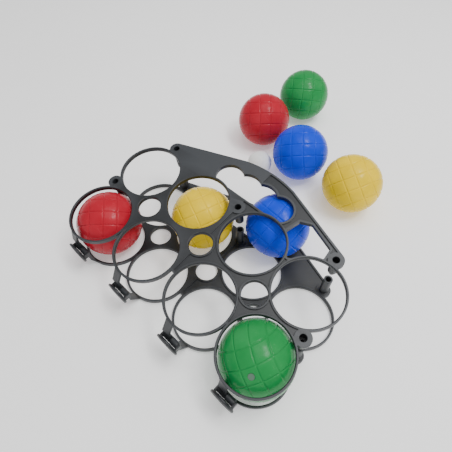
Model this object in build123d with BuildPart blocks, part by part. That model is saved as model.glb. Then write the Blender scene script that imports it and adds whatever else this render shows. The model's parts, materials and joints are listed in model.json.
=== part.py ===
from build123d import *
import os

# Bocce ball set, millimetres, +Z up.  The carrier is two copies of one frame
# moulding, one of them flipped, hinged together at four feet.  It lies on its
# lower frame with the upper frame standing ajar.
# Origin: on the ground, midway along the set, under its middle.
BALL_R = 36.5
BALL_WALL = 2.5
JACK_R = 16.5
GROOVE_W = 1.3
GROOVE_DEPTH = 0.7
GROOVE_OFFSETS = (-0.6, -0.2, 0.2, 0.6)
PLUG_HEAD_R = 3.0
PLUG_HEAD_H = 1.2
PLUG_SHANK_R = 2.2

RING_R = 34.0
HOOP_WALL = 2.4
HOOP_R = RING_R + HOOP_WALL
PLATE_H = 5.0
JACK_HOLE_R = 12.6
POCKET_DEPTH = 1.4
EDGE_ROUND = 0.9

# Half a closed carrier: plate inner and outer faces above the parting plane
INNER_Z = 22.5
OUTER_Z = INNER_Z + PLATE_H
AJAR = 8.2

# Ring centres, feet side first, then handle side, left to right
INNER_X = 39.0
OUTER_X = 112.0
NEAR_ROW = ((-OUTER_X, -4.5), (-INNER_X, 0), (INNER_X, 0), (OUTER_X, -4.5))
FAR_ROW = ((-OUTER_X, 69.5), (-INNER_X, 75), (INNER_X, 75), (OUTER_X, 69.5))
JACK_HOLES = ((-76, 35.5), (0, 40), (76, 35.5))

# Snap posts: long sockets on the left, short spigots on the right, one plain post
SIDE_BOSS = (134.0, 33.0)
END_BOSS = (113.0, 112.0)
GRIP_BOSS = (0, 97.0)
BOSS_R = 8.2
POST_R = 4.8
COLLAR_R = 6.6
COLLAR_H = 2.4
SOCKET_LENGTH = 25.0
STUB_LENGTH = 2 * INNER_Z - SOCKET_LENGTH
SOCKET_BORE_R = 3.1
SPIGOT_R = 2.8
SPIGOT_LENGTH = 6.0
SPIGOT_BORE_R = 1.4
TOP_BORE_R = 3.6
TOP_BORE_DEPTH = 12.0

# Handle arch
HANDLE_SHOULDER = (34.0, 149.5)
HANDLE_CROWN = (0, 154.0)
HANDLE_END = (116.0, 119.7)

# Hinge at the feet
HINGE_Y = -45.5
BAR_R = 1.8
BAR_GAP = 0.3
HOOK_R = 3.6
HOOK_MOUTH = 3.0
STRAP_WIDTH = 9.0
STRAP_GAP = 0.3
CHEEK_X = STRAP_GAP + STRAP_WIDTH + 0.3
CHEEK_W = 2.0
FOOT_R = 13.5


def grip_outline():
    """Hand opening: straight lower edge, four finger lobes along the top."""
    with BuildSketch() as grip:
        with BuildLine():
            left_end = ThreePointArc((-44, 109), (-51, 120), (-47, 132))
            lobe_1 = ThreePointArc(left_end @ 1, (-36, 137.5), (-24, 133.8))
            lobe_2 = ThreePointArc(lobe_1 @ 1, (-12, 139), (0, 135.5))
            lobe_3 = ThreePointArc(lobe_2 @ 1, (12, 139), (24, 133.8))
            lobe_4 = ThreePointArc(lobe_3 @ 1, (36, 137.5), (47, 132))
            right_end = ThreePointArc(lobe_4 @ 1, (51, 120), (44, 109))
            Line(right_end @ 1, left_end @ 0)
        make_face()
        with Locations((-INNER_X, 75), (INNER_X, 75)):
            Circle(HOOP_R, mode=Mode.SUBTRACT)
    return grip.sketch


def side_opening():
    """Three-cornered opening between two hoops and the right-hand handle arm."""
    with BuildSketch() as opening:
        with BuildLine():
            Polyline(
                (57, 108), (61, 124), (73, 129), (102, 118), (104, 100), (76, 84),
                close=True,
            )
        make_face()
        with Locations(FAR_ROW[2], FAR_ROW[3]):
            Circle(HOOP_R, mode=Mode.SUBTRACT)
        fillet(opening.vertices(), 1.2)
    return opening.sketch


def handle_outline():
    """Handle arch from boss to boss, closed across the far row of rings."""
    shoulder_x, shoulder_y = HANDLE_SHOULDER
    end_x, end_y = HANDLE_END
    with BuildSketch() as handle:
        with BuildLine():
            Polyline(
                (-shoulder_x, shoulder_y), (-end_x, end_y), (-119, 104), FAR_ROW[0],
                FAR_ROW[1], FAR_ROW[2], FAR_ROW[3], (119, 104), (end_x, end_y),
                (shoulder_x, shoulder_y),
            )
            ThreePointArc(HANDLE_SHOULDER, HANDLE_CROWN, (-shoulder_x, shoulder_y))
        make_face()
    return handle.sketch


def web_outline():
    """Flat webs that join the hoops and carry the side bosses."""
    boss_x, boss_y = SIDE_BOSS
    with BuildSketch() as web:
        with BuildLine():
            Polyline(
                *NEAR_ROW, (boss_x, boss_y), *reversed(FAR_ROW), (-boss_x, boss_y),
                close=True,
            )
        make_face()
    return web.sketch


def boss_points(side):
    """Side and end boss on one side of the frame: -1 left, 1 right."""
    return [(side * x, y) for x, y in (SIDE_BOSS, END_BOSS)]


def pockets(side):
    """Recessed panels of the webs on one half, inside the raised lips."""
    with BuildSketch() as panels:
        add(web_outline())
        add(handle_outline())
        offset(amount=-HOOP_WALL, kind=Kind.INTERSECTION, mode=Mode.REPLACE)
        with Locations(*NEAR_ROW, *FAR_ROW):
            Circle(HOOP_R, mode=Mode.SUBTRACT)
        with Locations(*JACK_HOLES):
            Circle(JACK_HOLE_R + HOOP_WALL, mode=Mode.SUBTRACT)
        with Locations(GRIP_BOSS, *boss_points(-1), *boss_points(1)):
            Circle(BOSS_R, mode=Mode.SUBTRACT)
        with BuildSketch(mode=Mode.SUBTRACT):
            add(grip_outline())
            offset(amount=HOOP_WALL, mode=Mode.REPLACE)
        with BuildSketch(mode=Mode.SUBTRACT):
            add(side_opening())
            offset(amount=HOOP_WALL, mode=Mode.REPLACE)
        with Locations((side * 100, 50)):
            Rectangle(200, 300, mode=Mode.INTERSECT)
    return panels.sketch


def strap_profile(ring_y):
    """Side view of a foot strap, from the hoop wall down to the hinge."""
    edge_y = ring_y - RING_R - EDGE_ROUND
    with BuildSketch() as strap:
        with BuildLine():
            Polyline(
                (edge_y, OUTER_Z), (HINGE_Y + 0.4, 13.5), (HINGE_Y - 0.7, 0),
                (HINGE_Y + 2.1, 0), (HINGE_Y + 3.1, 13.0), (edge_y, INNER_Z + 1),
                close=True,
            )
        make_face()
    return strap.sketch


def frame_moulding():
    """One frame, built as the upper one of a closed carrier."""
    with BuildPart() as moulding:
        with BuildSketch(Plane.XY.offset(INNER_Z)):
            add(web_outline())
            add(handle_outline())
            with Locations(*NEAR_ROW, *FAR_ROW):
                Circle(HOOP_R)
            with Locations(*boss_points(-1), *boss_points(1)):
                Circle(BOSS_R)
            with Locations(*NEAR_ROW, *FAR_ROW):
                Circle(RING_R, mode=Mode.SUBTRACT)
            with Locations(*JACK_HOLES):
                Circle(JACK_HOLE_R, mode=Mode.SUBTRACT)
            add(grip_outline(), mode=Mode.SUBTRACT)
            add(side_opening(), mode=Mode.SUBTRACT)
        extrude(amount=PLATE_H)
        holes = moulding.edges().filter_by(GeomType.CIRCLE)
        rims = holes.filter_by(lambda e: e.is_closed and e.radius in (RING_R, JACK_HOLE_R))
        fillet(rims, EDGE_ROUND)
        with BuildSketch(Plane.XY.offset(OUTER_Z)):
            add(pockets(1))
        extrude(amount=-POCKET_DEPTH, mode=Mode.SUBTRACT)
        with BuildSketch(Plane.XY.offset(INNER_Z)):
            add(pockets(-1))
        extrude(amount=POCKET_DEPTH, mode=Mode.SUBTRACT)

        # Collars under the side bosses, posts and their bores
        with BuildSketch(Plane.XY.offset(INNER_Z + POCKET_DEPTH)):
            with Locations((-SIDE_BOSS[0], SIDE_BOSS[1]), SIDE_BOSS):
                Circle(COLLAR_R)
        extrude(amount=-COLLAR_H - POCKET_DEPTH)
        with BuildSketch(Plane.XY.offset(INNER_Z + POCKET_DEPTH)):
            with Locations(*boss_points(-1)):
                Circle(POST_R)
        extrude(amount=-SOCKET_LENGTH - POCKET_DEPTH)
        with BuildSketch(Plane.XY.offset(INNER_Z)):
            with Locations(*boss_points(1)):
                Circle(POST_R)
        extrude(amount=-STUB_LENGTH)
        with BuildSketch(Plane.XY.offset(INNER_Z)):
            with Locations(GRIP_BOSS):
                Circle(POST_R)
        extrude(amount=-INNER_Z)
        with BuildSketch(Plane.XY.offset(INNER_Z - STUB_LENGTH)):
            with Locations(*boss_points(1)):
                Circle(SPIGOT_R)
        extrude(amount=-SPIGOT_LENGTH)
        bosses = (GRIP_BOSS, *boss_points(-1), *boss_points(1))
        with Locations(*[(x, y, OUTER_Z) for x, y in bosses]):
            Cylinder(TOP_BORE_R, 2 * TOP_BORE_DEPTH, mode=Mode.SUBTRACT)
        with Locations(*[(x, y, 0) for x, y in (GRIP_BOSS, *boss_points(-1))]):
            Cylinder(SOCKET_BORE_R, 2 * OUTER_Z, mode=Mode.SUBTRACT)
        with Locations(*[(x, y, 0) for x, y in boss_points(1)]):
            Cylinder(SPIGOT_BORE_R, 2 * OUTER_Z, mode=Mode.SUBTRACT)

        # Foot straps, each to the left of its foot centre, ending in a snap hook
        for ring_x, ring_y in NEAR_ROW:
            with BuildSketch(Plane.YZ.offset(ring_x - STRAP_GAP)):
                add(strap_profile(ring_y))
            extrude(amount=-STRAP_WIDTH)
            with BuildSketch(Plane.YZ.offset(ring_x - STRAP_GAP)):
                with Locations((HINGE_Y, 0)):
                    Circle(HOOK_R)
            extrude(amount=-STRAP_WIDTH)
            with BuildSketch(Plane.YZ.offset(ring_x - STRAP_GAP)):
                with Locations((HINGE_Y, 0)):
                    Circle(BAR_R + BAR_GAP)
                with Locations((HINGE_Y - HOOK_R, 0)):
                    Rectangle(2 * HOOK_R, HOOK_MOUTH)
            extrude(amount=-STRAP_WIDTH, mode=Mode.SUBTRACT)
    return moulding.part


def foot_clip():
    """Dished foot with two cheeks and the cross bar the hooks snap onto."""
    with BuildPart() as clip:
        with BuildSketch():
            with BuildLine():
                Polyline((0, -4.1), (10.5, -4.1), (12.8, -4.7))
                ThreePointArc((12.8, -4.7), (FOOT_R, -5.9), (12.8, -7.2))
                Polyline((12.8, -7.2), (11.2, -7.2), (8.6, -5.6), (0, -5.6), (0, -4.1))
            make_face()
        revolve(axis=Axis.Y)
        for side in (-1, 1):
            with BuildSketch(Plane.YZ.offset(side * (CHEEK_X + CHEEK_W / 2))):
                with Locations((-1.4, 0)):
                    RectangleRounded(7.2, 6.4, 1.5)
            extrude(amount=CHEEK_W / 2, both=True)
        Cylinder(BAR_R, 2 * CHEEK_X + CHEEK_W, rotation=(0, 90, 0))
    return clip.part


def ball_shell():
    """Hollow ball, scored with two crossing families of grooves."""
    with BuildPart() as shell:
        Sphere(BALL_R)
        for ratio in GROOVE_OFFSETS:
            with Locations((ratio * BALL_R, 0, 0)):
                Box(GROOVE_W, 3 * BALL_R, 3 * BALL_R, mode=Mode.SUBTRACT)
            with Locations((0, ratio * BALL_R, 0)):
                Box(3 * BALL_R, GROOVE_W, 3 * BALL_R, mode=Mode.SUBTRACT)
        Sphere(BALL_R - GROOVE_DEPTH)
        Sphere(BALL_R - BALL_WALL, mode=Mode.SUBTRACT)
        with Locations((0, 0, -BALL_R)):
            Cylinder(PLUG_SHANK_R, 4 * BALL_WALL, mode=Mode.SUBTRACT)
            Cylinder(PLUG_HEAD_R + 0.1, 2 * PLUG_HEAD_H, mode=Mode.SUBTRACT)
    return shell.part


def filler_plug():
    """Stopper of the filling hole, head just under the ball's surface."""
    with BuildPart() as plug:
        with BuildSketch(Plane.XY.offset(-BALL_R + PLUG_HEAD_H)):
            Circle(PLUG_HEAD_R)
        extrude(amount=-PLUG_HEAD_H + 0.4)
        with BuildSketch(Plane.XY.offset(-BALL_R + PLUG_HEAD_H)):
            Circle(PLUG_SHANK_R - 0.05)
        extrude(amount=BALL_WALL)
    return plug.part


def place(piece, where, name):
    """Put a copy of a piece at its place in the set and write its file."""
    with BuildPart() as placed:
        with Locations(where):
            add(piece)
    placed.part.label = name
    export_step(placed.part, f"parts/{name}.step")


os.makedirs("parts", exist_ok=True)
SET_CENTRE_Y = 166.45
GROUND = Location((0, -SET_CENTRE_Y, OUTER_Z))
HINGE = Location((0, HINGE_Y, 0))

frame = frame_moulding()
place(frame, GROUND * Location((0, 0, 0), (0, 180, 0)), "lower_frame")
swung = HINGE * Location((0, 0, 0), (AJAR, 0, 0)) * HINGE.inverse()
place(frame, GROUND * swung, "upper_frame")

foot = foot_clip()
FOOT_NAMES = ("foot_left_outer", "foot_left_inner", "foot_right_inner", "foot_right_outer")
for name, (ring_x, _) in zip(FOOT_NAMES, NEAR_ROW):
    place(foot, GROUND * Location((ring_x, HINGE_Y, 0), (AJAR / 2, 0, 0)), name)

# Ball positions on the ground plan of the carrier, with height and turn
BALLS = {
    "red_ball_in_ring": ((-112, -4.5, BALL_R), (7, 31, 47)),
    "yellow_ball_in_ring": ((-39, 75, BALL_R), (25, 29, 63)),
    "green_ball_in_ring": ((112, -4.5, BALL_R), (-141, -16, 123)),
    "blue_ball_under_grip": ((33, 124, 39.5), (33, 18, -5)),
    "red_ball_loose": ((-102, 262, BALL_R), (42, 30, 31)),
    "green_ball_loose": ((-95, 350, BALL_R), (48, 32, 23)),
    "blue_ball_loose": ((-22, 242, BALL_R), (43, 13, 33)),
    "yellow_ball_loose": ((59, 241, BALL_R), (45, 12, 53)),
}
shell = ball_shell()
plug = filler_plug()
for name, ((x, y, z), turn) in BALLS.items():
    spot = Location((x, y - SET_CENTRE_Y, z), turn)
    place(shell, spot, name)
    place(plug, spot, name.replace("ball", "plug"))

with BuildPart() as jack:
    with Locations((-61.5, 206.5 - SET_CENTRE_Y, JACK_R)):
        Sphere(JACK_R)
jack.part.label = "jack"
export_step(jack.part, "parts/jack.step")
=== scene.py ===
import json
import math

import bmesh
import bpy
from mathutils import Euler, Matrix, Vector


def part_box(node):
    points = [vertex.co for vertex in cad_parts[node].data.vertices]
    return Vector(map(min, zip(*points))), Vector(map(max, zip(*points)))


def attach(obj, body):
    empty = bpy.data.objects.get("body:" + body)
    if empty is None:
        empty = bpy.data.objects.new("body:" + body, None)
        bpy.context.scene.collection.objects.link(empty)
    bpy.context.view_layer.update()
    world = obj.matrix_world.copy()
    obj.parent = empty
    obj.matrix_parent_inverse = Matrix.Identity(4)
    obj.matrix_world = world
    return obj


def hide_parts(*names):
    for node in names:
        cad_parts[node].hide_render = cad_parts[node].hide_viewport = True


# Camera: place in metres, right, down and forward directions, lens and sensor in mm
CAMERA_AT = (0.1588, -0.26105, 0.3791)
CAMERA_RIGHT = (0.72799, 0.68559, -0.00204)
CAMERA_DOWN = (0.55517, -0.59125, -0.58499)
CAMERA_FORWARD = (-0.40227, 0.42473, -0.81104)
CAMERA_LENS = 29.14
CAMERA_SENSOR = 36.0
CAMERA_NEAR = 0.01

# Ball, metres: radius and groove lines as in the CAD, with softer and shallower grooves
BALL_R = 0.0365
GROOVE_OFFSETS = (-0.6, -0.2, 0.2, 0.6)
GROOVE_HALF = 0.00035
GROOVE_DEPTH = 0.00055
GROOVE_LIP = 0.00055
PLUG_R = 0.0031
PLUG_DEPTH = 0.0012
BALL_STEPS = 120
SEAM_MERGE = 1e-6

# Floor: side and drop below the set in metres, faint glow, and its two near-white tones
FLOOR_SIZE = 12.0
FLOOR_DROP = 0.0003
FLOOR_GLOW = 0.3
FLOOR_TONES = ((0.93, 0.93, 0.93), (0.95, 0.95, 0.95))

# Studio: world strength, and each lamp's place, size in metres and power in watts
WORLD_STRENGTH = 0.6
LIGHTS = {
    "overhead": ((0.1, 0.2, 1.5), (1.2, 1.2), 12.0),
    "window": ((0.55, 0.15, 1.3), (0.35, 0.25), 6.0),
    "second_window": ((0.25, 0.35, 1.4), (0.25, 0.25), 4.0),
}

# Turn of each ball, degrees about its own X, Y and Z in turn
BALL_TURNS = {
    "red_ball_in_ring": (7, 31, 47),
    "yellow_ball_in_ring": (25, 29, 63),
    "green_ball_in_ring": (-141, -16, 123),
    "blue_ball_under_grip": (33, 18, -5),
    "red_ball_loose": (42, 30, 31),
    "green_ball_loose": (48, 32, 23),
    "blue_ball_loose": (43, 13, 33),
    "yellow_ball_loose": (45, 12, 53),
}

BALL_COLOURS = {
    "red": (0.46, 0.012, 0.028),
    "yellow": (0.9, 0.62, 0.0),
    "green": (0.012, 0.26, 0.06),
    "blue": (0.0, 0.045, 0.7),
}

# Moulded plastics: colour, lighter colour, roughness and softened edge radius in metres
MOULDED = {
    "frame_plastic": ((0.009, 0.0105, 0.013), (0.013, 0.015, 0.018), 0.42, 0.0006),
    "foot_plastic": ((0.008, 0.0095, 0.012), (0.012, 0.014, 0.017), 0.38, 0.0004),
    "plug_plastic": ((0.03, 0.07, 0.045), (0.045, 0.09, 0.06), 0.45, 0.0002),
}
JACK_COLOUR = (0.88, 0.88, 0.87)
JACK_ROUGHNESS = 0.3
BEVEL_SAMPLES = 6


def new_material(name):
    material = bpy.data.materials.new(name)
    material.use_nodes = True
    nodes = material.node_tree.nodes
    return material, nodes, material.node_tree.links, nodes["Principled BSDF"]


def noise(nodes, links, coords, scale, detail=4.0, roughness=0.5):
    node = nodes.new("ShaderNodeTexNoise")
    node.inputs["Scale"].default_value = scale
    node.inputs["Detail"].default_value = detail
    node.inputs["Roughness"].default_value = roughness
    links.new(coords, node.inputs["Vector"])
    return node.outputs["Fac"]


def spread(nodes, links, value, low, high, start=0.3, end=0.7):
    """Map a value in start..end to low..high."""
    node = nodes.new("ShaderNodeMapRange")
    node.inputs["From Min"].default_value = start
    node.inputs["From Max"].default_value = end
    node.inputs["To Min"].default_value = low
    node.inputs["To Max"].default_value = high
    links.new(value, node.inputs["Value"])
    return node.outputs["Result"]


def mix_colours(nodes, links, factor, first, second):
    """Blend two colours; each is an RGB tuple or a socket."""
    node = nodes.new("ShaderNodeMix")
    node.data_type = "RGBA"
    links.new(factor, node.inputs[0])
    for socket, colour in ((node.inputs[6], first), (node.inputs[7], second)):
        if isinstance(colour, tuple):
            socket.default_value = (*colour, 1.0)
        else:
            links.new(colour, socket)
    return node.outputs[2]


def bump(nodes, links, height, strength, distance, normal=None):
    node = nodes.new("ShaderNodeBump")
    node.inputs["Strength"].default_value = strength
    node.inputs["Distance"].default_value = distance
    links.new(height, node.inputs["Height"])
    if normal is not None:
        links.new(normal, node.inputs["Normal"])
    return node.outputs["Normal"]


def moulded_plastic(name, colour, lighter, roughness, edge_radius):
    """Satin moulded plastic: fine texture, softened edges that catch light, a painted highlight
    along convex edges, handling scuffs.
    """
    material, nodes, links, shader = new_material(name)
    coords = nodes.new("ShaderNodeTexCoord").outputs["Object"]
    geometry = nodes.new("ShaderNodeNewGeometry")
    cloud = noise(nodes, links, coords, 22.0)
    scuff = noise(nodes, links, coords, 260.0, 6.0, 0.7)
    grain = noise(nodes, links, coords, 2600.0, 2.0)
    body = mix_colours(nodes, links, spread(nodes, links, cloud, 0.0, 1.0), colour, lighter)
    # Pale colour for the random handling scuffs, and also the painted highlight on convex edges.
    scuff_and_edge_highlight = tuple(min(1.0, 2.6 * c + 0.02) for c in lighter)
    # Painted highlight: convex edges, found by pointiness, are lightened towards the pale colour.
    edge_highlight_mask = spread(nodes, links, geometry.outputs["Pointiness"], 0.0, 0.55, 0.505, 0.56)
    edge_highlighted = mix_colours(nodes, links, edge_highlight_mask, body, scuff_and_edge_highlight)
    scratch = spread(nodes, links, scuff, 0.0, 0.18, 0.58, 0.72)
    links.new(mix_colours(nodes, links, scratch, edge_highlighted, scuff_and_edge_highlight), shader.inputs["Base Color"])
    links.new(
        spread(nodes, links, cloud, roughness - 0.06, roughness + 0.08),
        shader.inputs["Roughness"],
    )
    soft = nodes.new("ShaderNodeBevel")
    soft.samples = BEVEL_SAMPLES
    soft.inputs["Radius"].default_value = edge_radius
    textured = bump(nodes, links, grain, 0.12, 0.0002, soft.outputs["Normal"])
    links.new(bump(nodes, links, cloud, 0.15, 0.0006, textured), shader.inputs["Normal"])
    return material


def glossy_plastic(name, colour, roughness=0.2):
    """Shiny blow-moulded plastic: faint waviness, thin colour clouds, painted shade in the
    grooves, a few dull rubs.
    """
    material, nodes, links, shader = new_material(name)
    coords = nodes.new("ShaderNodeTexCoord").outputs["Object"]
    geometry = nodes.new("ShaderNodeNewGeometry")
    cloud = noise(nodes, links, coords, 45.0, 3.0)
    rub = noise(nodes, links, coords, 180.0, 6.0, 0.65)
    wave = noise(nodes, links, coords, 75.0, 1.0)
    peel = noise(nodes, links, coords, 900.0, 2.0)
    deep = tuple(0.86 * c for c in colour)
    pale = tuple(min(1.0, 1.04 * c + 0.012) for c in colour)
    body = mix_colours(nodes, links, spread(nodes, links, cloud, 0.0, 1.0), deep, pale)
    # Painted shade: the sunken grooves, found by low pointiness, are darkened towards this deeper
    # colour.
    groove_shade = tuple(0.55 * c for c in colour)
    sunk = spread(nodes, links, geometry.outputs["Pointiness"], 0.75, 0.0, 0.40, 0.495)
    groove_shaded = mix_colours(nodes, links, sunk, body, groove_shade)
    chalk = tuple(min(1.0, c + 0.12) for c in colour)
    rubbed = spread(nodes, links, rub, 0.0, 0.12, 0.62, 0.75)
    links.new(mix_colours(nodes, links, rubbed, groove_shaded, chalk), shader.inputs["Base Color"])
    links.new(
        spread(nodes, links, rub, roughness - 0.05, roughness + 0.1),
        shader.inputs["Roughness"],
    )
    shader.inputs["Specular IOR Level"].default_value = 0.1
    shader.inputs["Coat Weight"].default_value = 0.03
    shader.inputs["Coat Roughness"].default_value = 0.12
    wavy = bump(nodes, links, wave, 0.12, 0.0008)
    links.new(bump(nodes, links, peel, 0.05, 0.00015, wavy), shader.inputs["Normal"])
    return material


def floor_material():
    material, nodes, links, shader = new_material("floor")
    coords = nodes.new("ShaderNodeTexCoord").outputs["Object"]
    cloud = noise(nodes, links, coords, 3.0)
    tone = spread(nodes, links, cloud, 0.0, 1.0)
    colour = mix_colours(nodes, links, tone, *FLOOR_TONES)
    links.new(colour, shader.inputs["Base Color"])
    shader.inputs["Roughness"].default_value = 0.7
    shader.inputs["Specular IOR Level"].default_value = 0.1
    links.new(colour, shader.inputs["Emission Color"])
    shader.inputs["Emission Strength"].default_value = FLOOR_GLOW
    return material


def ball_radius(direction):
    """Radius of the ball's surface along a unit direction: scored grooves and the plug seat."""
    sunk = 0.0
    for across in (direction.x, direction.y):
        for offset in GROOVE_OFFSETS:
            gap = abs(across - offset) * BALL_R
            reach = GROOVE_HALF + GROOVE_LIP
            if gap < reach:
                slope = min(1.0, (reach - gap) / GROOVE_LIP)
                sunk = max(sunk, GROOVE_DEPTH * slope * slope * (3 - 2 * slope))
    if direction.z < 0 and math.hypot(direction.x, direction.y) * BALL_R < PLUG_R:
        sunk = PLUG_DEPTH
    return BALL_R - sunk


def grid_directions(steps):
    """Points of the unit sphere on a cube grid, as rows for each of the six sides."""
    sides = (
        Matrix.Identity(3),
        Matrix.Rotation(math.pi / 2, 3, "Y"),
        Matrix.Rotation(-math.pi / 2, 3, "Y"),
        Matrix.Rotation(math.pi / 2, 3, "X"),
        Matrix.Rotation(-math.pi / 2, 3, "X"),
        Matrix.Rotation(math.pi, 3, "X"),
    )
    for side in sides:
        rows = []
        for i in range(steps + 1):
            u = math.tan(math.pi / 4 * (2 * i / steps - 1))
            row = []
            for j in range(steps + 1):
                v = math.tan(math.pi / 4 * (2 * j / steps - 1))
                row.append((side @ Vector((u, v, 1.0))).normalized())
            rows.append(row)
        yield rows


def ball_mesh(steps):
    """Scored ball with softly rounded grooves."""
    points = bmesh.new()
    for rows in grid_directions(steps):
        grid = [[points.verts.new(d * ball_radius(d)) for d in row] for row in rows]
        for i in range(steps):
            for j in range(steps):
                points.faces.new((grid[i][j], grid[i + 1][j], grid[i + 1][j + 1], grid[i][j + 1]))
    bmesh.ops.remove_doubles(points, verts=points.verts, dist=SEAM_MERGE)
    bmesh.ops.recalc_face_normals(points, faces=points.faces)
    mesh = bpy.data.meshes.new("scored_ball")
    points.to_mesh(mesh)
    points.free()
    for polygon in mesh.polygons:
        polygon.use_smooth = True
    return mesh


def centre(node):
    low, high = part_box(node)
    return (low + high) / 2


def add_ball(node, mesh, materials):
    colour = node.split("_")[0]
    turned = mesh.copy()
    turned.transform(turn_of(node).to_4x4())
    turned.materials[0] = materials[colour + "_plastic"]
    piece = bpy.data.objects.new(node.replace("ball", "scored_ball"), turned)
    bpy.context.scene.collection.objects.link(piece)
    piece.location = centre(node)
    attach(piece, node)
    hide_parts(node)


def turn_of(node):
    """The CAD turns about X, then the turned Y, then the turned Z."""
    turn_x, turn_y, turn_z = (math.radians(a) for a in BALL_TURNS[node])
    turn = Euler((turn_x, 0, 0)).to_matrix()
    return turn @ Euler((0, turn_y, 0)).to_matrix() @ Euler((0, 0, turn_z)).to_matrix()


def add_floor():
    bpy.ops.mesh.primitive_plane_add(size=FLOOR_SIZE, location=(0, 0, -FLOOR_DROP))
    floor = bpy.context.object
    floor.name = "floor"
    floor.data.materials.append(floor_material())


def add_light(name, place, size, power):
    """Soft rectangular lamp aimed at the origin."""
    lamp = bpy.data.lights.new(name, "AREA")
    lamp.shape = "RECTANGLE"
    lamp.size, lamp.size_y = size
    lamp.energy = power
    holder = bpy.data.objects.new(name, lamp)
    bpy.context.scene.collection.objects.link(holder)
    holder.location = place
    aim = -Vector(place)
    holder.rotation_euler = aim.to_track_quat("-Z", "Y").to_euler()


def add_world():
    world = bpy.data.worlds.new("studio")
    world.use_nodes = True
    background = world.node_tree.nodes["Background"]
    background.inputs["Color"].default_value = (1.0, 1.0, 1.0, 1.0)
    background.inputs["Strength"].default_value = WORLD_STRENGTH
    bpy.context.scene.world = world


def add_camera():
    camera = bpy.data.objects.new("camera", bpy.data.cameras.new("camera"))
    bpy.context.scene.collection.objects.link(camera)
    camera.data.lens = CAMERA_LENS
    camera.data.sensor_width = CAMERA_SENSOR
    camera.data.clip_start = CAMERA_NEAR
    right, down, forward = (Vector(v) for v in (CAMERA_RIGHT, CAMERA_DOWN, CAMERA_FORWARD))
    turn = Matrix((right, -down, -forward)).transposed()
    camera.matrix_world = Matrix.Translation(CAMERA_AT) @ turn.to_4x4()
    bpy.context.scene.camera = camera


def build(frame):
    materials = {name: moulded_plastic(name, *look) for name, look in MOULDED.items()}
    materials["jack_plastic"] = glossy_plastic("jack_plastic", JACK_COLOUR, JACK_ROUGHNESS)
    for colour, value in BALL_COLOURS.items():
        materials[colour + "_plastic"] = glossy_plastic(colour + "_plastic", value)
    slots = {s["node"]: s["material_slot"] for s in frame["record"]["subparts"]}
    for node, piece in frame["nodes"].items():
        piece.data.materials.clear()
        piece.data.materials.append(materials[slots[node]])

    mesh = ball_mesh(BALL_STEPS)
    mesh.materials.append(materials["red_plastic"])
    for node in BALL_TURNS:
        add_ball(node, mesh, materials)

    add_floor()
    add_world()
    for name, (place, size, power) in LIGHTS.items():
        add_light(name, place, size, power)
    add_camera()


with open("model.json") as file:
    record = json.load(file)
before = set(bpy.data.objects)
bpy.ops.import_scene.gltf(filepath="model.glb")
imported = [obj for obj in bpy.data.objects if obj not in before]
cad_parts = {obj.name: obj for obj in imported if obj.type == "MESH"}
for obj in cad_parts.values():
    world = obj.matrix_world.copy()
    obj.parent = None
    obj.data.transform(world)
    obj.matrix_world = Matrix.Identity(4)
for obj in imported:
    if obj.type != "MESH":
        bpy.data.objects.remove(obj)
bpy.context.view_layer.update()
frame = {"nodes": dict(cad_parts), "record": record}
build(frame)
